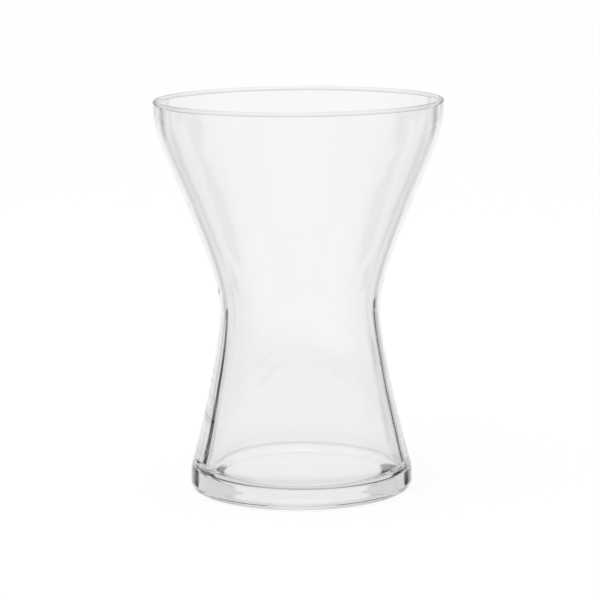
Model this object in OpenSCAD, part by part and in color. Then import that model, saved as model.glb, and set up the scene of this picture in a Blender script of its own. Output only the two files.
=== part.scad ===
// Clear glass flower vase with a flared mouth, a narrow waist and a heavy foot.
// Everything is a body of revolution about Z. The origin is the centre of the
// circle that the vase stands on, and +Z points out of the mouth.
// The foot, the wall and the lip are the three zones that the glass is formed in.
// They are one melt, so each zone meets the next face to face.

/* [Overall] */
// Height from the table to the top of the lip
overall_h = 200; // [175:1:250]

/* [Lip] */
// Widest diameter, over the rounded lip
mouth_d = 147; // [130:1:165]
// How far the rounded lip swells past the wall on each side
lip_bulge = 0.35; // [0.2:0.05:0.8]
// Height of the upright collar, from its lower end to the top of the lip
collar_h = 7; // [4:0.5:12]

/* [Flare] */
// Lean of the flare from upright where it opens fastest, in degrees
flare_lean = 21.5; // [17:0.5:27]

/* [Waist] */
// Outer diameter at the narrowest place
waist_d = 81.5; // [70:0.5:92]
// Height of the narrowest place above the table
waist_h = 92.5; // [80:0.5:105]

/* [Foot] */
// Widest diameter of the foot
foot_d = 114; // [106:1:126]
// Radius of the rounded heel under the foot
heel_r = 5; // [3:0.25:6.5]
// Height of the upright band above the heel
band_h = 2.5; // [1:0.25:4]
// Radius that turns the band in towards the waist
shoulder_r = 25; // [15:1:32]
// Lean of the skirt from upright where it leaves the foot, in degrees
skirt_lean = 17; // [12:0.5:20]
// Thickness of the glass floor
floor_t = 8.5; // [7:0.5:12]
// Radius of the inner corner between wall and floor
corner_r = 6; // [3:0.25:8]
// Turn of the inner corner before it meets the floor, in degrees
corner_turn = 65; // [50:5:80]

/* [Underside] */
// Width of the flat ring that the vase stands on
rest_ring_w = 4; // [2:0.5:8]
// Depth of the shallow hollow inside the ring
punt_depth = 0.3; // [0.2:0.1:1.5]

/* [Wall] */
// Thickness of the wall under the lip
lip_wall = 1.9; // [1.4:0.1:2.6]
// Thickness of the wall half way up the flare
flare_wall = 3.3; // [2.4:0.1:4]
// Thickness of the wall at the waist
waist_wall = 3.5; // [2.6:0.1:4.5]
// Thickness of the wall where it rises from the floor
foot_wall = 6.4; // [5:0.1:7.5]

/* [Hidden] */
$fn = 144;

// Straight steps along each rounded corner and along each long curve
arc_steps = 8;
curve_steps = 14;

// Pull of the long curves towards their end directions, as shares of each chord
skirt_pull_share = 0.2;
flare_pull_share = 0.28;
collar_pull_share = 0.25;
// Where the flare opens fastest, as shares of the way from the waist to the collar
flare_out_share = 0.485;
flare_up_share = 0.53;

// Lip: a round bead whose flat underside is as wide as the wall it closes
lip_r = lip_wall / 2 + lip_bulge;
lip_mid_r = mouth_d / 2 - lip_r;
lip_mid_h = overall_h - lip_r;
lip_wrap = acos(lip_wall / 2 / lip_r);
lip_seam_h = lip_mid_h - lip_r * sin(lip_wrap);
collar_r = lip_mid_r + lip_wall / 2;
lip_angles = concat(
    [-lip_wrap, -lip_wrap / 2],
    [for (i = [0 : 2 * arc_steps]) 90 * i / arc_steps],
    [180 + lip_wrap / 2, 180 + lip_wrap]
);

// Foot: heel, upright band, then a shoulder that turns in towards the waist
foot_r = foot_d / 2;
band_top_h = heel_r + band_h;
shoulder_end = [
    foot_r - shoulder_r * (1 - cos(skirt_lean)),
    band_top_h + shoulder_r * sin(skirt_lean)
];
rest_outer_r = foot_r - heel_r;
rest_inner_r = rest_outer_r - rest_ring_w;

waist_point = [waist_d / 2, waist_h];
collar_point = [collar_r, overall_h - collar_h];
flare_point = [
    waist_point.x + flare_out_share * (collar_point.x - waist_point.x),
    waist_point.y + flare_up_share * (collar_point.y - waist_point.y)
];

// Points round a centre from one angle to another
function arc(centre, r, from, to) = [
    for (i = [0 : arc_steps])
        let (a = from + (to - from) * i / arc_steps)
        centre + r * [cos(a), sin(a)]
];

// Unit vector that leans outwards from upright
function leaning(lean) = [sin(lean), cos(lean)];

// Smooth curve between two points, leaving and arriving at the given leans.
// The first point is left out, because it ends the stretch before.
function sweep(start, start_lean, finish, finish_lean, pull_share) =
    let (
        pull = pull_share * norm(finish - start),
        a = start + pull * leaning(start_lean),
        b = finish - pull * leaning(finish_lean)
    )
    [
        for (i = [1 : curve_steps])
            let (t = i / curve_steps, s = 1 - t)
            s * s * s * start + 3 * s * s * t * a + 3 * s * t * t * b + t * t * t * finish
    ];

// Outer outline from the table to the seam under the lip
outer_points = concat(
    arc([foot_r - heel_r, heel_r], heel_r, -90, 0),
    arc([foot_r - shoulder_r, band_top_h], shoulder_r, 0, skirt_lean),
    sweep(shoulder_end, -skirt_lean, waist_point, 0, skirt_pull_share),
    sweep(waist_point, 0, flare_point, flare_lean, flare_pull_share),
    sweep(flare_point, flare_lean, collar_point, 0, collar_pull_share),
    [[collar_r, lip_seam_h]]
);

outer_by_height = [for (p = outer_points) [p.y, p.x]];
wall_by_height = [
    [floor_t, foot_wall],
    [waist_h, waist_wall],
    [flare_point.y, flare_wall],
    [lip_seam_h, lip_wall]
];

// Radius of the outside and of the inside at a height above the table
function outer_r_at(h) = lookup(h, outer_by_height);
function inner_r_at(h) = outer_r_at(h) - lookup(h, wall_by_height);

// Inner corner: it runs into the leaning wall above and meets the floor in a crease
corner_mid_h = floor_t + corner_r * sin(corner_turn);
corner_top_h = corner_mid_h + corner_r * sin(skirt_lean);
corner_mid_r = inner_r_at(corner_top_h) - corner_r * cos(skirt_lean);

// Hollow under the foot, from its middle out to the ring, as a shallow bowl
hollow_points = [
    for (i = [0 : arc_steps])
        let (out_share = i / arc_steps)
        [rest_inner_r * out_share, punt_depth * (1 - out_share * out_share)]
];

// Thick disc of glass with the heel, the floor and the ring that the vase stands on
module heavy_foot() {
    foot_outline = concat(
        hollow_points,
        [for (p = outer_points) if (p.y < floor_t) p],
        [[outer_r_at(floor_t), floor_t], [0, floor_t]]
    );
    color([0.84, 0.91, 0.9, 0.45])
        rotate_extrude()
            polygon(foot_outline);
}

// Blown wall from the floor, in to the waist and out again to the lip
module waisted_wall() {
    outside = [for (p = outer_points) if (p.y > floor_t) p];
    inside = [for (p = outer_points) if (p.y > corner_top_h) [inner_r_at(p.y), p.y]];
    corner = arc([corner_mid_r, corner_mid_h], corner_r, -corner_turn, skirt_lean);
    wall_outline = concat(
        [[outer_r_at(floor_t), floor_t]],
        outside,
        [for (i = [len(inside) - 1 : -1 : 0]) inside[i]],
        [for (i = [len(corner) - 1 : -1 : 0]) corner[i]]
    );
    color([0.88, 0.94, 0.94, 0.35])
        rotate_extrude()
            polygon(wall_outline);
}

// Fire-polished bead that closes the top of the wall
module rounded_lip() {
    color([0.9, 0.95, 0.95, 0.4])
        rotate_extrude()
            polygon([for (a = lip_angles) [lip_mid_r, lip_mid_h] + lip_r * [cos(a), sin(a)]]);
}

heavy_foot();
waisted_wall();
rounded_lip();
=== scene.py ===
"""Clear glass flower vase in a white studio.

The glass is formed in three zones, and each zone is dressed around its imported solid.
"""

from __future__ import annotations

import logging
import math
from dataclasses import dataclass, field
from enum import Enum

import bmesh
import bpy
from mathutils import Euler, Matrix, Vector


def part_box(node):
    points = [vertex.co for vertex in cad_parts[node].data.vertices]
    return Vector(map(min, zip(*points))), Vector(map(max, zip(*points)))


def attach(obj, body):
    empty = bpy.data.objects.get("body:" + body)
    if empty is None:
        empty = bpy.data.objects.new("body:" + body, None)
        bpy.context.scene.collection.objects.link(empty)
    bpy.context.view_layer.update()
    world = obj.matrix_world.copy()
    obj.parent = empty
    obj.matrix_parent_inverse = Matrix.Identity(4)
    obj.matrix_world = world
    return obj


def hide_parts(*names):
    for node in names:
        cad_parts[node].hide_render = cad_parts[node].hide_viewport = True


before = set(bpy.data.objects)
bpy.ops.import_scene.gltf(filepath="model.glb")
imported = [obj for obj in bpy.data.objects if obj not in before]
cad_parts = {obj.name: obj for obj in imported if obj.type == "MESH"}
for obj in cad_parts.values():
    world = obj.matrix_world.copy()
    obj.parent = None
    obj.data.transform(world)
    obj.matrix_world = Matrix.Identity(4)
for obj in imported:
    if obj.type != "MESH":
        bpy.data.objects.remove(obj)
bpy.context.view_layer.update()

LOG = logging.getLogger("vase")
MM = 0.001
BODY = "root"
LIGHT_BOUNCES = 128
SEAM_PASSES = 48
Point = tuple[float, float]
Colour = tuple[float, float, float, float]
Socket = bpy.types.NodeSocket


class Zone(Enum):
    """The CAD node that each zone of the glass stands for."""

    FOOT = "heavy_foot"
    WALL = "waisted_wall"
    LIP = "rounded_lip"


@dataclass(frozen=True)
class Quality:
    """How finely the glass is turned.

    Attributes:
        turns: steps round the axis.
        curve_steps: steps along each long curve.
        arc_steps: steps along each rounded corner.
        bead_steps: steps round the lip's bead.
        seam_gap: distance from a seam to the ring that holds its smooth shading.
        weld: distance under which points are merged.
        crease: angle over which an edge stays sharp, in degrees.
    """

    turns: int = 400
    curve_steps: int = 28
    arc_steps: int = 12
    bead_steps: int = 36
    seam_gap: float = 0.08 * MM
    weld: float = 0.002 * MM
    crease: float = 24.0


QUALITY = Quality()


def arc(centre: Point, radius: float, start: float, end: float, steps: int) -> list[Point]:
    """Points round a centre.

    Args:
        centre: radius and height of the middle.
        radius: radius of the arc.
        start: first angle in degrees, from straight out.
        end: last angle in degrees.
        steps: number of straight steps.

    Returns:
        The points, ends included.
    """
    angles = (math.radians(start + (end - start) * i / steps) for i in range(steps + 1))
    return [(centre[0] + radius * math.cos(a), centre[1] + radius * math.sin(a)) for a in angles]


def sweep(start: Point, start_lean: float, end: Point, end_lean: float, pull: float) -> list[Point]:
    """A smooth curve between two points of the outline.

    Args:
        start: first point.
        start_lean: lean outwards from upright at the start, in degrees.
        end: last point.
        end_lean: lean outwards from upright at the end, in degrees.
        pull: how far each end holds its lean, as a share of the chord.

    Returns:
        The points after the first.
    """
    reach = pull * math.dist(start, end)
    first, last = math.radians(start_lean), math.radians(end_lean)
    knots = (
        Vector(start),
        Vector(start) + reach * Vector((math.sin(first), math.cos(first))),
        Vector(end) - reach * Vector((math.sin(last), math.cos(last))),
        Vector(end),
    )
    points = []
    for i in range(1, QUALITY.curve_steps + 1):
        t = i / QUALITY.curve_steps
        s = 1 - t
        p = s**3 * knots[0] + 3 * s * s * t * knots[1] + 3 * s * t * t * knots[2] + t**3 * knots[3]
        points.append((p.x, p.y))
    return points


def radius_at(outline: list[Point], height: float) -> float:
    """Radius of a rising outline at a height.

    Args:
        outline: points from low to high.
        height: height to read at.

    Returns:
        The radius, by straight lines between the points.
    """
    for (r0, z0), (r1, z1) in zip(outline, outline[1:]):
        if z0 <= height <= z1 and z1 > z0:
            return r0 + (r1 - r0) * (height - z0) / (z1 - z0)
    return outline[-1][0] if height > outline[-1][1] else outline[0][0]


def smooth_step(low: float, high: float, value: float) -> float:
    """Eases from 0 at low to 1 at high."""
    t = min(max((value - low) / (high - low), 0), 1)
    return t * t * (3 - 2 * t)


@dataclass
class VaseShape:
    """Sizes of the glass in metres and its leans in degrees.

    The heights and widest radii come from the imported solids, and the rest are their sizes.

    Attributes:
        waist_r: outer radius at the narrowest place.
        waist_h: height of the narrowest place.
        heel_r: radius of the rounded heel.
        band_h: height of the upright band over the heel.
        shoulder_r: radius that turns the band in towards the waist.
        skirt_lean: lean of the skirt where it leaves the foot.
        flare_lean: lean of the flare where it opens fastest.
        collar_h: height of the upright collar and the lip.
        corner_r: radius of the inner corner between floor and wall.
        corner_turn: turn of that corner before it meets the floor.
        rest_ring_w: width of the flat ring that the vase stands on.
        punt_depth: depth of the hollow inside that ring.
        lip_bulge: how far the bead swells past the wall on each side.
        lip_wall: thickness of the wall under the lip.
        flare_wall: thickness where the flare opens fastest.
        waist_wall: thickness at the waist.
        skirt_wall: thickness at the middle of the skirt.
        skirt_h: height of that place.
        foot_wall: thickness where the wall rises from the floor.
        skirt_pull: pull of the skirt's curve towards its leans, as a share of its chord.
        flare_pull: the same for the flare's lower curve.
        collar_pull: the same for the flare's upper curve.
        flare_out: where the flare opens fastest, as a share of the way out to the collar.
        flare_up: the same, as a share of the way up.
        fit: how far the glass stays inside the solids.
        drift_low: how far the hollow stands to one side near the floor.
        drift_mid: the same at the top of the skirt.
        drift_rise: heights over the floor where the drift starts to fall to that of the
            skirt's top, where it reaches it, and where it is gone.
        height: height of the vase.
        mouth_r: outer radius of the lip.
        foot_r: outer radius of the foot.
        floor_h: height of the floor.
        lip_h: height of the seam under the lip.
        outline: outer outline, from the resting ring to that seam.
    """

    waist_r: float = 40.75 * MM
    waist_h: float = 92.5 * MM
    heel_r: float = 5 * MM
    band_h: float = 2.5 * MM
    shoulder_r: float = 25 * MM
    skirt_lean: float = 17.0
    flare_lean: float = 21.5
    collar_h: float = 7 * MM
    corner_r: float = 6 * MM
    corner_turn: float = 65.0
    rest_ring_w: float = 4 * MM
    punt_depth: float = 0.3 * MM
    lip_bulge: float = 0.35 * MM
    lip_wall: float = 1.9 * MM
    flare_wall: float = 3.3 * MM
    waist_wall: float = 3.5 * MM
    skirt_wall: float = 4.35 * MM
    skirt_h: float = 50 * MM
    foot_wall: float = 6.4 * MM
    skirt_pull: float = 0.2
    flare_pull: float = 0.28
    collar_pull: float = 0.25
    flare_out: float = 0.485
    flare_up: float = 0.53
    fit: float = 0.05 * MM
    drift_low: float = 1.35 * MM
    drift_mid: float = 0.7 * MM
    drift_rise: tuple[float, float, float] = (9 * MM, 46 * MM, 99 * MM)
    height: float = field(init=False)
    mouth_r: float = field(init=False)
    foot_r: float = field(init=False)
    floor_h: float = field(init=False)
    lip_h: float = field(init=False)
    outline: list[Point] = field(init=False)

    def __post_init__(self) -> None:
        """Reads the frame and lays out the outer outline."""
        foot_low, foot_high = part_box(Zone.FOOT.value)
        lip_low, lip_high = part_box(Zone.LIP.value)
        self.height = lip_high.z
        self.mouth_r = min(lip_high.x, lip_high.y, -lip_low.x, -lip_low.y) - self.fit
        self.foot_r = min(foot_high.x, foot_high.y, -foot_low.x, -foot_low.y) - self.fit
        self.floor_h = foot_high.z
        self.lip_h = lip_low.z
        self.outline = self.outer_outline()

    @property
    def lip_r(self) -> float:
        """Radius of the lip's bead."""
        return self.lip_wall / 2 + self.lip_bulge

    @property
    def collar_r(self) -> float:
        """Outer radius of the collar under the lip."""
        return self.mouth_r - self.lip_bulge

    @property
    def collar(self) -> Point:
        """Radius and height where the upright collar starts."""
        return (self.collar_r, self.height - self.collar_h)

    @property
    def flare(self) -> Point:
        """Finds the place where the flare opens fastest.

        Returns:
            Its radius and height.
        """
        out, up = self.collar
        return (
            self.waist_r + self.flare_out * (out - self.waist_r),
            self.waist_h + self.flare_up * (up - self.waist_h),
        )

    @property
    def floor_edge_r(self) -> float:
        """Radius of the crease where the inner corner meets the floor."""
        return self.corner()[0][0]

    def outer_outline(self) -> list[Point]:
        """Lays out the outer outline.

        Returns:
            The points from the resting ring to the seam under the lip.
        """
        arcs = QUALITY.arc_steps
        heel_mid = (self.foot_r - self.heel_r, self.heel_r)
        shoulder_mid = (self.foot_r - self.shoulder_r, self.heel_r + self.band_h)
        heel = arc(heel_mid, self.heel_r, -90, 0, arcs)
        shoulder = arc(shoulder_mid, self.shoulder_r, 0, self.skirt_lean, arcs)
        waist = (self.waist_r, self.waist_h)
        skirt = sweep(shoulder[-1], -self.skirt_lean, waist, 0, self.skirt_pull)
        opening = sweep(waist, 0, self.flare, self.flare_lean, self.flare_pull)
        closing = sweep(self.flare, self.flare_lean, self.collar, 0, self.collar_pull)
        return heel + shoulder + skirt + opening + closing + [(self.collar_r, self.lip_h)]

    def wall_at(self, height: float) -> float:
        """Thickness of the wall at a height.

        Args:
            height: height above the table.

        Returns:
            The smooth curve through the thicknesses at the foot, skirt, waist, flare and lip.
        """
        heights = (self.floor_h, self.skirt_h, self.waist_h, self.flare[1], self.lip_h)
        walls = (self.foot_wall, self.skirt_wall, self.waist_wall, self.flare_wall, self.lip_wall)
        total = 0.0
        for i, wall in enumerate(walls):
            for j, other in enumerate(heights):
                if i != j:
                    wall *= (height - other) / (heights[i] - other)
            total += wall
        return total

    def inner_r(self, height: float) -> float:
        """Radius of the hollow at a height, before its drift."""
        return radius_at(self.outline, height) - self.wall_at(height)

    def drift_at(self, height: float) -> float:
        """How far the hollow stands off the axis at a height, towards +X.

        Args:
            height: height above the table.

        Returns:
            The drift: most at the floor and just above it, fading out over the waist.
        """
        low, high, top = (self.floor_h + rise for rise in self.drift_rise)
        fade = 1 - smooth_step(low, high, height)
        tail = 1 - smooth_step(high, top, height)
        return (self.drift_low - self.drift_mid) * fade + self.drift_mid * tail

    def corner(self) -> list[Point]:
        """Lays out the inner corner.

        Returns:
            The points from the floor's edge up into the wall.
        """
        turn, lean = math.radians(self.corner_turn), math.radians(self.skirt_lean)
        mid_h = self.floor_h + self.corner_r * math.sin(turn)
        top_h = mid_h + self.corner_r * math.sin(lean)
        middle = (self.inner_r(top_h) - self.corner_r * math.cos(lean), mid_h)
        points = arc(middle, self.corner_r, -self.corner_turn, self.skirt_lean, QUALITY.arc_steps)
        return [(points[0][0], self.floor_h)] + points[1:]


@dataclass
class Turned:
    """A zone of the glass, modelled as a section that is spun round the axis.

    Attributes:
        shape: sizes that the zone is cut from.
        zone: the CAD node that it stands for.
        closed_ring: whether the section is a loop that stays off the axis.
    """

    shape: VaseShape
    zone: Zone
    closed_ring: bool = True

    def section(self) -> list[Point]:
        """The section of the zone, as radius and height."""
        raise NotImplementedError

    def is_seam(self, centre: Vector) -> bool:
        """Whether a face lies where the glass runs on into the next zone."""
        raise NotImplementedError

    def draw_section(self, name: str) -> bpy.types.Object:
        """Draws the section as a chain of edges.

        Args:
            name: name of the new piece.

        Returns:
            The object, in edit mode.
        """
        bpy.ops.object.select_all(action="DESELECT")
        bpy.ops.mesh.primitive_plane_add(size=MM, location=(0, 0, 0))
        piece = bpy.context.object
        piece.name = piece.data.name = name
        points = self.section()
        bpy.ops.object.mode_set(mode="EDIT")
        bpy.ops.mesh.select_mode(type="VERT")
        mesh = bmesh.from_edit_mesh(piece.data)
        for vertex in list(mesh.verts)[1:]:
            mesh.verts.remove(vertex)
        mesh.verts.ensure_lookup_table()
        first = mesh.verts[0]
        first.co = (points[0][0], 0, points[0][1])
        first.select_set(True)
        mesh.select_flush_mode()
        bmesh.update_edit_mesh(piece.data)
        for (r0, z0), (r1, z1) in zip(points, points[1:]):
            step = {"value": (r1 - r0, 0, z1 - z0)}
            bpy.ops.mesh.extrude_region_move(TRANSFORM_OT_translate=step)
        return piece

    def join_ends(self, piece: bpy.types.Object) -> None:
        """Closes the chain of edges to a loop.

        Args:
            piece: the drawn section, in edit mode.
        """
        bpy.ops.mesh.select_all(action="DESELECT")
        mesh = bmesh.from_edit_mesh(piece.data)
        for vertex in mesh.verts:
            vertex.select_set(len(vertex.link_edges) < 2)
        mesh.select_flush_mode()
        bmesh.update_edit_mesh(piece.data)
        bpy.ops.mesh.edge_face_add()

    def build(self) -> bpy.types.Object:
        """Spins the section into a closed zone of glass.

        Returns:
            The zone, in object mode.
        """
        piece = self.draw_section(self.zone.value + "_glass")
        if self.closed_ring:
            self.join_ends(piece)
        bpy.ops.mesh.select_all(action="SELECT")
        bpy.ops.mesh.spin(
            steps=QUALITY.turns, angle=2 * math.pi, center=(0, 0, 0), axis=(0, 0, 1)
        )
        bpy.ops.mesh.select_all(action="SELECT")
        bpy.ops.mesh.remove_doubles(threshold=QUALITY.weld)
        bpy.ops.mesh.normals_make_consistent(inside=False)
        bpy.ops.object.mode_set(mode="OBJECT")
        self.settle(piece)
        bpy.ops.object.shade_smooth_by_angle(angle=math.radians(QUALITY.crease))
        return piece

    def settle(self, piece: bpy.types.Object) -> None:
        """Gives the glass the unevenness that it was formed with."""

    def dress(
        self, piece: bpy.types.Object, glass: bpy.types.Material, seam: bpy.types.Material
    ) -> None:
        """Puts the finishes on the faces and ties the piece to the frame.

        Args:
            piece: the finished zone.
            glass: finish of every surface that meets air.
            seam: finish of the faces where the glass runs on.
        """
        piece.data.materials.clear()
        piece.data.materials.append(glass)
        piece.data.materials.append(seam)
        for face in piece.data.polygons:
            face.material_index = int(self.is_seam(face.center))
        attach(piece, BODY)
        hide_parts(self.zone.value)
        LOG.info("%s: %d faces", piece.name, len(piece.data.polygons))


@dataclass
class HeavyFoot(Turned):
    """Thick disc of glass with its heel, floor, resting ring and shallow hollow.

    Attributes:
        seam_inset: least distance from the floor's edge out to the middle of a seam face.
    """

    zone: Zone = Zone.FOOT
    closed_ring: bool = False
    seam_inset: float = 2 * MM

    def section(self) -> list[Point]:
        """Lays out half of the foot's section.

        Returns:
            The points from the hollow's middle round to the floor's middle.
        """
        shape = self.shape
        floor = shape.floor_h
        ring_in = shape.foot_r - shape.heel_r - shape.rest_ring_w
        shares = [i / QUALITY.curve_steps for i in range(QUALITY.curve_steps + 1)]
        hollow = [(ring_in * s, shape.punt_depth * (1 - s * s) ** 2) for s in shares]
        side = [p for p in shape.outline if p[1] < floor - 2 * QUALITY.seam_gap]
        side += [(radius_at(shape.outline, z), z) for z in (floor - QUALITY.seam_gap, floor)]
        edge = shape.floor_edge_r
        return hollow + side + [(edge, floor), (edge / 2, floor), (0, floor)]

    def settle(self, piece: bpy.types.Object) -> None:
        """Moves the floor with the hollow above it.

        Args:
            piece: the finished zone.
        """
        drift = self.shape.drift_at(self.shape.floor_h)
        edge = self.shape.floor_edge_r + QUALITY.weld
        for vertex in piece.data.vertices:
            on_top = abs(vertex.co.z - self.shape.floor_h) < QUALITY.weld
            if on_top and vertex.co.xy.length < edge:
                vertex.co.x += drift

    def is_seam(self, centre: Vector) -> bool:
        """The ring at floor height, outside the floor's edge."""
        on_top = abs(centre.z - self.shape.floor_h) < QUALITY.weld
        return on_top and centre.xy.length > self.shape.floor_edge_r + self.seam_inset


@dataclass
class WaistedWall(Turned):
    """Wall from the floor, in to the waist and out again to the lip."""

    zone: Zone = Zone.WALL

    def section(self) -> list[Point]:
        """Lays out the wall's section.

        Returns:
            The closed loop, up the outside and down the inside.
        """
        shape = self.shape
        gap = QUALITY.seam_gap
        low, high = shape.floor_h, shape.lip_h
        rising = [p[1] for p in shape.outline if low + 2 * gap < p[1] < high - 2 * gap]
        outer_heights = [low, low + gap, *rising, high - gap, high]
        corner = shape.corner()
        inner_heights = [z for z in rising if z > corner[-1][1] + gap] + [high - gap, high]
        outside = [(radius_at(shape.outline, z), z) for z in outer_heights]
        inside = [(shape.inner_r(z), z) for z in reversed(inner_heights)]
        return outside + inside + corner[::-1]

    def settle(self, piece: bpy.types.Object) -> None:
        """Moves the hollow off the axis, as the core stood when the glass was formed.

        Args:
            piece: the finished zone.
        """
        for vertex in piece.data.vertices:
            height = vertex.co.z
            middle = radius_at(self.shape.outline, height) - self.shape.wall_at(height) / 2
            if vertex.co.xy.length < middle:
                vertex.co.x += self.shape.drift_at(height)

    def is_seam(self, centre: Vector) -> bool:
        """The flat rings at the two ends of the wall."""
        ends = (self.shape.floor_h, self.shape.lip_h)
        return any(abs(centre.z - end) < QUALITY.weld for end in ends)


@dataclass
class RoundedLip(Turned):
    """Fire-polished bead that closes the top of the wall."""

    zone: Zone = Zone.LIP

    def section(self) -> list[Point]:
        """Lays out the bead's section.

        Returns:
            The closed loop, from the outside of the wall round to its inside.
        """
        shape = self.shape
        radius = shape.lip_r
        wrap = math.degrees(math.asin((shape.height - radius - shape.lip_h) / radius))
        centre = (shape.mouth_r - radius, shape.height - radius)
        bead = arc(centre, radius, -wrap, 180 + wrap, QUALITY.bead_steps)
        return [(bead[0][0], shape.lip_h)] + bead[1:-1] + [(bead[-1][0], shape.lip_h)]

    def is_seam(self, centre: Vector) -> bool:
        """The flat underside of the bead."""
        return abs(centre.z - self.shape.lip_h) < QUALITY.weld


@dataclass
class NodeSum:
    """Small helper that lays out nodes.

    Attributes:
        tree: the tree that the nodes are added to.
    """

    tree: bpy.types.NodeTree

    def node(self, kind: str) -> bpy.types.Node:
        """Adds a node of a kind."""
        return self.tree.nodes.new(kind)

    def put(self, value: float | tuple[float, ...] | Socket, socket: Socket) -> None:
        """Sets a socket to a value, or links another socket to it.

        Args:
            value: number, row of numbers or socket.
            socket: the socket that takes it.
        """
        if isinstance(value, bpy.types.NodeSocket):
            self.tree.links.new(value, socket)
        else:
            socket.default_value = value

    def math(self, operation: str, *values: float | Socket) -> Socket:
        """Adds a math node.

        Args:
            operation: name of the operation.
            values: numbers or sockets that it works on.

        Returns:
            The node's result.
        """
        node = self.node("ShaderNodeMath")
        node.operation = operation
        for value, socket in zip(values, node.inputs):
            self.put(value, socket)
        return node.outputs[0]

    def ease(self, value: Socket, low: float, high: float, start: float, end: float) -> Socket:
        """Maps a value smoothly from one range to another.

        Args:
            value: the value.
            low: value that gives the start.
            high: value that gives the end.
            start: result at and under low.
            end: result at and over high.

        Returns:
            The mapped value.
        """
        node = self.node("ShaderNodeMapRange")
        node.interpolation_type = "SMOOTHSTEP"
        names = ("From Min", "From Max", "To Min", "To Max")
        for name, number in zip(names, (low, high, start, end)):
            self.put(number, node.inputs[name])
        self.put(value, node.inputs["Value"])
        return node.outputs["Result"]

    def window(self, value: Socket, low: float, high: float, edge: float) -> Socket:
        """Gives 1 between two values and 0 outside, with soft edges.

        Args:
            value: the value.
            low: where the window starts.
            high: where it ends.
            edge: half the width of each soft edge.

        Returns:
            The share of the window.
        """
        opening = self.ease(value, low - edge, low + edge, 0.0, 1.0)
        closing = self.ease(value, high - edge, high + edge, 1.0, 0.0)
        return self.math("MULTIPLY", opening, closing)

    def blend(self, share: Socket, first: float | Socket, second: float | Socket) -> Socket:
        """Mixes two values.

        Args:
            share: share of the second value.
            first: the first value.
            second: the second value.

        Returns:
            The mixed value.
        """
        rest = self.math("SUBTRACT", 1.0, share)
        start = self.math("MULTIPLY", rest, first)
        return self.math("ADD", start, self.math("MULTIPLY", share, second))

    def mix_colour(self, share: Socket, first: Colour | Socket, second: Colour) -> Socket:
        """Mixes two colours.

        Args:
            share: share of the second colour.
            first: the first colour.
            second: the second colour.

        Returns:
            The mixed colour.
        """
        mix = self.node("ShaderNodeMix")
        mix.data_type = "RGBA"
        for name, value in (("Factor", share), ("A", first), ("B", second)):
            self.put(value, mix.inputs[name])
        return mix.outputs["Result"]

    def mix_shader(self, share: Socket, first: Socket, second: Socket) -> Socket:
        """Mixes two shaders.

        Args:
            share: share of the second shader.
            first: the first shader.
            second: the second shader.

        Returns:
            The mixed shader.
        """
        mix = self.node("ShaderNodeMixShader")
        for socket, source in zip(mix.inputs, (share, first, second)):
            self.put(source, socket)
        return mix.outputs[0]

    def glow(self, tone: float | Socket) -> Socket:
        """Adds a white light.

        Args:
            tone: how bright it is, where 1 is white.

        Returns:
            The light's shader.
        """
        light = self.node("ShaderNodeEmission")
        self.put(tone, light.inputs["Strength"])
        return light.outputs[0]

    def place(self, kind: str) -> Socket:
        """Adds the texture coordinate of a kind."""
        return self.node("ShaderNodeTexCoord").outputs[kind]

    def axes(self, place: Socket) -> list[Socket]:
        """Splits a place.

        Args:
            place: the place or direction.

        Returns:
            Its x, y and z.
        """
        split = self.node("ShaderNodeSeparateXYZ")
        self.put(place, split.inputs[0])
        return list(split.outputs)

    def reach(self, x: Socket, y: Socket) -> Socket:
        """Distance from the axis."""
        squares = (self.math("MULTIPLY", side, side) for side in (x, y))
        return self.math("SQRT", self.math("ADD", *squares))

    def in_glass(self) -> Socket:
        """Gives 1 to a ray that comes through the glass or off it, and 0 to any other."""
        rays = self.node("ShaderNodeLightPath").outputs
        return self.math("MAXIMUM", rays["Is Transmission Ray"], rays["Is Glossy Ray"])


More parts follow.
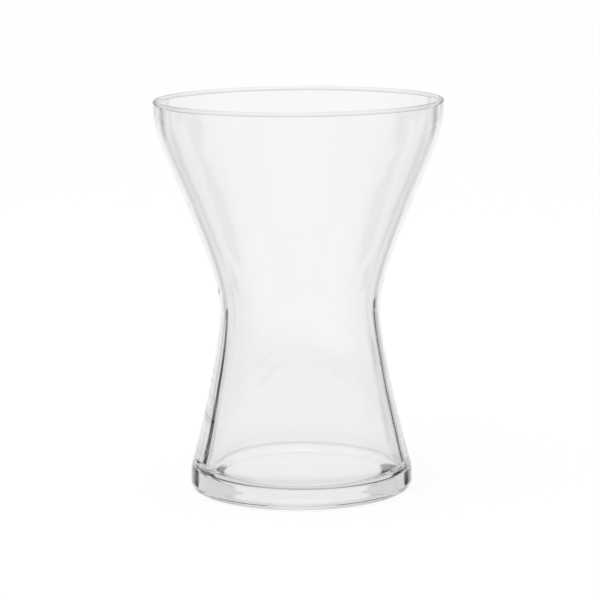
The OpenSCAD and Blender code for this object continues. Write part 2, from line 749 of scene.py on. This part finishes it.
@dataclass(frozen=True)
class ClearGlass:
    """Finish of polished clear glass, a little deeper in colour where it is thick, with a painted
    shade line round the edge of the floor.

    Attributes:
        thin_tint: colour of the wall and the lip.
        thick_tint: colour of the foot.
        thick_top: height up to which the foot has its full colour.
        thin_from: height from which the wall has its own.
        band_reach: distance from the axis over which the foot's colour comes in.
        crease_shade_tint: colour of the thin line round the edge of the floor.
        crease_shade_heights: heights between which the line lies.
        crease_shade_reach: distances from the axis between which it lies.
        crease_shade_edges: half the width of its soft edges, in height and in reach.
        ior: how strongly the glass bends light.
        cord_depth: depth of the cords, which are faint waves in the surface.
        cord_fineness: scale of the cords' pattern.
        cord_detail: detail of that pattern.
        cord_squeeze: scale of its height, which draws the cords upright.
    """

    thin_tint: Colour = (0.967, 0.969, 0.968, 1)
    thick_tint: Colour = (0.88, 0.888, 0.884, 1)
    thick_top: float = 11 * MM
    thin_from: float = 24 * MM
    band_reach: Point = (50 * MM, 53 * MM)
    # crease_shade_tint: colour of the painted shade, a thin dark line round the edge of the floor.
    crease_shade_tint: Colour = (0.66, 0.67, 0.665, 1)
    # crease_shade_heights: heights between which the painted shade line lies.
    crease_shade_heights: Point = (9.3 * MM, 10.3 * MM)
    # crease_shade_reach: distances from the axis between which it lies.
    crease_shade_reach: Point = (44.5 * MM, 51.5 * MM)
    # crease_shade_edges: half the width of its soft edges, in height and in reach.
    crease_shade_edges: Point = (0.6 * MM, 0.8 * MM)
    ior: float = 1.52
    cord_depth: float = 0.0035 * MM
    cord_fineness: float = 95.0
    cord_detail: float = 1.0
    cord_squeeze: float = 0.22

    def make(self) -> bpy.types.Material:
        """Builds the material.

        Returns:
            The finish of every surface that meets air.
        """
        material = bpy.data.materials.new("clear_glass_with_shade_line")
        material.use_nodes = True
        shader = material.node_tree.nodes["Principled BSDF"]
        sums = NodeSum(material.node_tree)
        place = sums.place("Object")
        finish = {
            "Base Color": self.tint(sums, place),
            "Normal": self.cords(sums, place),
            "Roughness": 0.0,
            "IOR": self.ior,
            "Transmission Weight": 1.0,
        }
        for name, value in finish.items():
            sums.put(value, shader.inputs[name])
        return material

    def tint(self, sums: NodeSum, place: Socket) -> Socket:
        """Lays out the colour, with the painted shade line round the edge of the floor.

        Args:
            sums: the helper for the material's nodes.
            place: place on the object.

        Returns:
            The colour there.
        """
        x, y, z = sums.axes(place)
        reach = sums.reach(x, y)
        low = sums.ease(z, self.thick_top, self.thin_from, 1.0, 0.0)
        thick = sums.math("MULTIPLY", low, sums.ease(reach, *self.band_reach, 0.0, 1.0))
        # Painted shade: a thin dark ring round the edge of the floor, standing in for the dark line
        # that bent light draws at the inner corner.
        level = sums.window(z, *self.crease_shade_heights, self.crease_shade_edges[0])
        ring = sums.window(reach, *self.crease_shade_reach, self.crease_shade_edges[1])
        body = sums.mix_colour(thick, self.thin_tint, self.thick_tint)
        return sums.mix_colour(sums.math("MULTIPLY", level, ring), body, self.crease_shade_tint)

    def cords(self, sums: NodeSum, place: Socket) -> Socket:
        """Lays out the faint waves in the surface.

        Args:
            sums: the helper for the material's nodes.
            place: place on the object.

        Returns:
            The way that the surface faces there.
        """
        stretch = sums.node("ShaderNodeMapping")
        sums.put(place, stretch.inputs["Vector"])
        sums.put((1, 1, self.cord_squeeze), stretch.inputs["Scale"])
        pattern = sums.node("ShaderNodeTexNoise")
        sums.put(stretch.outputs["Vector"], pattern.inputs["Vector"])
        sums.put(self.cord_fineness, pattern.inputs["Scale"])
        sums.put(self.cord_detail, pattern.inputs["Detail"])
        bump = sums.node("ShaderNodeBump")
        sums.put(1.0, bump.inputs["Strength"])
        sums.put(self.cord_depth, bump.inputs["Distance"])
        sums.put(pattern.outputs["Fac"], bump.inputs["Height"])
        return bump.outputs["Normal"]


@dataclass(frozen=True)
class FusedSeam:
    """Finish of the faces where one zone runs on into the next.

    Light passes as if nothing were there.
    """

    def make(self) -> bpy.types.Material:
        """Builds the material.

        Returns:
            The finish of every seam face.
        """
        material = bpy.data.materials.new("fused_seam_finish")
        material.use_nodes = True
        tree = material.node_tree
        tree.nodes.remove(tree.nodes["Principled BSDF"])
        clear = tree.nodes.new("ShaderNodeBsdfTransparent")
        tree.links.new(clear.outputs["BSDF"], tree.nodes["Material Output"].inputs["Surface"])
        return material


@dataclass(frozen=True)
class Card:
    """A patch of the room round the vase, seen only in the glass.

    Angles are in degrees. Turn is counted from the line of the photograph's view, 0 behind the
    vase, 90 to both sides and 180 behind the camera, and rise from the horizon.

    Attributes:
        turn_low: turn where the patch starts.
        turn_high: turn where it ends.
        rise_low: rise where it starts.
        rise_high: rise where it ends.
        tone: its light, where 1 is white.
        turn_edge: half the width of its soft upright edges.
        rise_edge: half the width of its soft level edges.
    """

    turn_low: float
    turn_high: float
    rise_low: float
    rise_high: float
    tone: float
    turn_edge: float
    rise_edge: float


class RoomCards(Enum):
    """What stands round the vase. Each card lies over the ones before it."""

    ROOM_SIDE = Card(13, 112, -90, 90, 0.86, 9, 9)
    ROOM_FAR_SIDE = Card(26, 96, -90, 90, 0.74, 4, 4)
    TABLE_BACK = Card(-19, 30, -90, -11.4, 0.92, 4, 0.9)
    TABLE_DIP = Card(27.5, 41, -27, -11, 0.6, 2.5, 2.5)
    BESIDE_DIM = Card(22, 37, -9, -5, 0.6, 3, 1)
    PANEL = Card(-19, 70, 7, 17, 0.82, 2.5, 2.5)
    PANEL_SIDE = Card(22, 56, 7, 17, 0.71, 9, 3)
    HORIZON = Card(-9, 11, 1, 6, 0.65, 1.5, 1.5)
    HORIZON_SIDE = Card(12, 36, 0, 7, 0.2, 1.5, 1.5)
    HIGH_BACK = Card(-19, 60, 18, 31, 0.55, 2, 2)
    HIGH_SIDE = Card(10, 60, 18, 31, 0.1, 2, 2)
    GAP_BESIDE = Card(36, 44, -11, -1, 0.0, 1, 1.2)
    GAP_LOW = Card(33.5, 43, -15.5, -11, 0.0, 1, 1)
    GAP_FAR = Card(50, 66, -3, 6, 0.0, 1.2, 1.2)
    PANEL_END = Card(60, 84, 10.5, 21, 0.0, 2, 1.5)
    HIGH_WALL = Card(42, 68, 28, 46, 0.15, 4, 4)
    HIGH_FRONT = Card(105, 142, 28, 46, 0.85, 10, 4)


@dataclass(frozen=True)
class TableShade:
    """Painted light and shade on the table under the vase, seen down through its floor: a glowing
    tone that stands in for the vase's shadow there.

    Attributes:
        ring_in: reach from the axis over which the dark ring round the floor starts.
        ring_out: reach over which it ends again.
        ring_back: how far back the ring goes.
        ring_side: distance to the side over which it goes from its front tone to its side tone.
        ring_tones: those two tones.
        outside: tone outside the ring.
        middle: depth over which the light middle changes.
        middle_tones: its tones in front and behind.
        patch_side: distance to the side of the dark patches beside the foot.
        patch_depth: from where to where the patches lie.
        patch_edges: half the width of their soft edges, to the side and in depth.
        patch_tone: their tone.
        foot: reach over which the vase's footprint ends.
    """

    ring_in: Point = (44.5 * MM, 46 * MM)
    ring_out: Point = (48.5 * MM, 50 * MM)
    ring_back: Point = (9 * MM, 17 * MM)
    ring_side: Point = (14 * MM, 42 * MM)
    ring_tones: Point = (0.45, 0.1)
    outside: float = 0.75
    middle: Point = (-42 * MM, 4 * MM)
    middle_tones: Point = (0.84, 0.99)
    patch_side: Point = (41 * MM, 60 * MM)
    patch_depth: Point = (-20 * MM, 12 * MM)
    patch_edges: Point = (1 * MM, 2 * MM)
    patch_tone: float = 0.0
    foot: Point = (55 * MM, 57 * MM)

    def lay_out(self, sums: NodeSum) -> tuple[Socket, Socket]:
        """Lays out the nodes of the shade.

        Args:
            sums: the helper for the floor paint's nodes.

        Returns:
            The share of the vase's footprint, and the tone of the table there.
        """
        x, y = sums.axes(sums.place("Object"))[:2]
        side = sums.math("ABSOLUTE", x)
        reach = sums.reach(x, y)
        ring_tone = sums.ease(side, *self.ring_side, *self.ring_tones)
        past_ring = sums.ease(reach, *self.ring_out, 0.0, 1.0)
        ring_tone = sums.blend(past_ring, ring_tone, self.outside)
        front = sums.ease(y, *self.ring_back, 1.0, 0.0)
        ring = sums.math("MULTIPLY", sums.ease(reach, *self.ring_in, 0.0, 1.0), front)
        tone = sums.blend(ring, sums.ease(y, *self.middle, *self.middle_tones), ring_tone)
        across = sums.window(side, *self.patch_side, self.patch_edges[0])
        deep = sums.window(y, *self.patch_depth, self.patch_edges[1])
        tone = sums.blend(sums.math("MULTIPLY", across, deep), tone, self.patch_tone)
        return sums.ease(reach, *self.foot, 1.0, 0.0), tone


@dataclass(frozen=True)
class FloorPaint:
    """Finish of the pale floor, which the glass looks straight through, except under the vase's
    footprint, where the glass sees a glowing painted shade of the table instead.

    Attributes:
        glow: the floor's own light.
        grey: tone of its paint, which takes the vase's shadow.
    """

    glow: float = 0.9
    grey: float = 0.1

    def make(self) -> bpy.types.Material:
        """Builds the material.

        Returns:
            The finish of the floor.
        """
        material = bpy.data.materials.new("floor_paint")
        material.use_nodes = True
        tree = material.node_tree
        tree.nodes.remove(tree.nodes["Principled BSDF"])
        sums = NodeSum(tree)
        paint = sums.node("ShaderNodeBsdfDiffuse")
        sums.put((self.grey, self.grey, self.grey, 1), paint.inputs["Color"])
        both = sums.node("ShaderNodeAddShader")
        sums.put(paint.outputs[0], both.inputs[0])
        sums.put(sums.glow(self.glow), both.inputs[1])
        # Painted shadow: under the footprint, rays from the glass see the table's glowing painted
        # shade, not the room.
        under, tone = TableShade().lay_out(sums)
        clear = sums.node("ShaderNodeBsdfTransparent").outputs[0]
        through = sums.mix_shader(under, clear, sums.glow(tone))
        seen = sums.mix_shader(sums.in_glass(), both.outputs[0], through)
        sums.put(seen, tree.nodes["Material Output"].inputs["Surface"])
        return material


@dataclass(frozen=True)
class Studio:
    """White studio: a pale floor and room, whose darker parts draw the edges of the glass.

    Attributes:
        room_tone: light of the room in the glass, where no card stands.
        ambient: light that the room throws on everything else.
        floor_size: width of the floor.
        lamp_size: width of the soft lamp.
        lamp_power: its power in watts.
        lamp_place: where it hangs.
    """

    room_tone: float = 0.97
    ambient: float = 0.9
    floor_size: float = 40.0
    lamp_size: float = 1.6
    lamp_power: float = 12.0
    lamp_place: tuple[float, float, float] = (-0.5, -0.6, 1.8)

    def build(self) -> None:
        """Builds the world, the floor and the lamp."""
        self.build_world()
        self.build_floor()
        self.build_lamp()

    def build_world(self) -> None:
        """Lays out the light that comes from each direction."""
        world = bpy.data.worlds.new("studio_world")
        world.use_nodes = True
        bpy.context.scene.world = world
        sums = NodeSum(world.node_tree)
        x, y, z = sums.axes(sums.place("Generated"))
        turn = sums.math("DEGREES", sums.math("ARCTAN2", sums.math("ABSOLUTE", x), y))
        rise = sums.math("DEGREES", sums.math("ARCSINE", z))
        tone: float | Socket = self.room_tone
        for card in (entry.value for entry in RoomCards):
            across = sums.window(turn, card.turn_low, card.turn_high, card.turn_edge)
            upward = sums.window(rise, card.rise_low, card.rise_high, card.rise_edge)
            tone = sums.blend(sums.math("MULTIPLY", across, upward), tone, card.tone)
        seen = sums.blend(sums.in_glass(), self.ambient, tone)
        to_camera = sums.node("ShaderNodeLightPath").outputs["Is Camera Ray"]
        background = world.node_tree.nodes["Background"]
        sums.put((1, 1, 1, 1), background.inputs["Color"])
        sums.put(sums.blend(to_camera, seen, 1.0), background.inputs["Strength"])

    def build_floor(self) -> None:
        """Lays the floor."""
        bpy.ops.object.select_all(action="DESELECT")
        bpy.ops.mesh.primitive_plane_add(size=self.floor_size, location=(0, 0, 0))
        floor = bpy.context.object
        floor.name = "studio_floor"
        floor.data.materials.append(FloorPaint().make())

    def build_lamp(self) -> None:
        """Hangs one large soft lamp over the vase, which doesn't show in the glass."""
        data = bpy.data.lights.new("soft_lamp", "AREA")
        data.shape = "DISK"
        data.size = self.lamp_size
        data.energy = self.lamp_power
        lamp = bpy.data.objects.new("soft_lamp", data)
        lamp.location = self.lamp_place
        lamp.rotation_euler = (-lamp.location).to_track_quat("-Z", "Y").to_euler()
        lamp.visible_glossy = False
        lamp.visible_transmission = False
        bpy.context.scene.collection.objects.link(lamp)


@dataclass(frozen=True)
class PhotoCamera:
    """Camera at the photograph's place and angle, found by fitting the vase's outline.

    Attributes:
        distance: distance to the vase's axis, over the table.
        height: height above the table.
        pitch: how far it looks down, in degrees.
        roll: how far it is turned about its view, in degrees.
        focal_px: focal length in pixels of the photograph.
        frame_px: width of the photograph in pixels.
        sensor_mm: width of the sensor.
        clip: nearest and farthest distance that it sees.
    """

    distance: float = 1.350
    height: float = 0.3247
    pitch: float = 9.571
    roll: float = -0.485
    focal_px: float = 2684.7
    frame_px: float = 600.0
    sensor_mm: float = 36.0
    clip: Point = (0.01, 200.0)

    def build(self) -> None:
        """Sets the camera up."""
        data = bpy.data.cameras.new("photo_camera")
        data.sensor_width = self.sensor_mm
        data.lens = self.focal_px * self.sensor_mm / self.frame_px
        data.clip_start, data.clip_end = self.clip
        camera = bpy.data.objects.new("photo_camera", data)
        level = Euler((math.radians(90 - self.pitch), 0, 0)).to_matrix()
        rolled = level @ Matrix.Rotation(math.radians(self.roll), 3, "Z")
        stand = Matrix.Translation((0, -self.distance, self.height))
        camera.matrix_world = stand @ rolled.to_4x4()
        bpy.context.scene.collection.objects.link(camera)
        bpy.context.scene.camera = camera


def set_render_look() -> None:
    """Plain view transform, and enough bounces for light to get out of thick glass."""
    scene = bpy.context.scene
    scene.view_settings.view_transform = "Standard"
    scene.cycles.max_bounces = LIGHT_BOUNCES
    scene.cycles.glossy_bounces = LIGHT_BOUNCES
    scene.cycles.transmission_bounces = LIGHT_BOUNCES
    scene.cycles.transparent_max_bounces = SEAM_PASSES


def main() -> None:
    """Builds the studio and the vase."""
    logging.basicConfig(level=logging.INFO, format="%(name)s %(message)s")
    set_render_look()
    PhotoCamera().build()
    Studio().build()
    shape = VaseShape()
    glass = ClearGlass().make()
    seam = FusedSeam().make()
    for zone in (HeavyFoot(shape), WaistedWall(shape), RoundedLip(shape)):
        zone.dress(zone.build(), glass, seam)


if __name__ == "__main__":
    main()
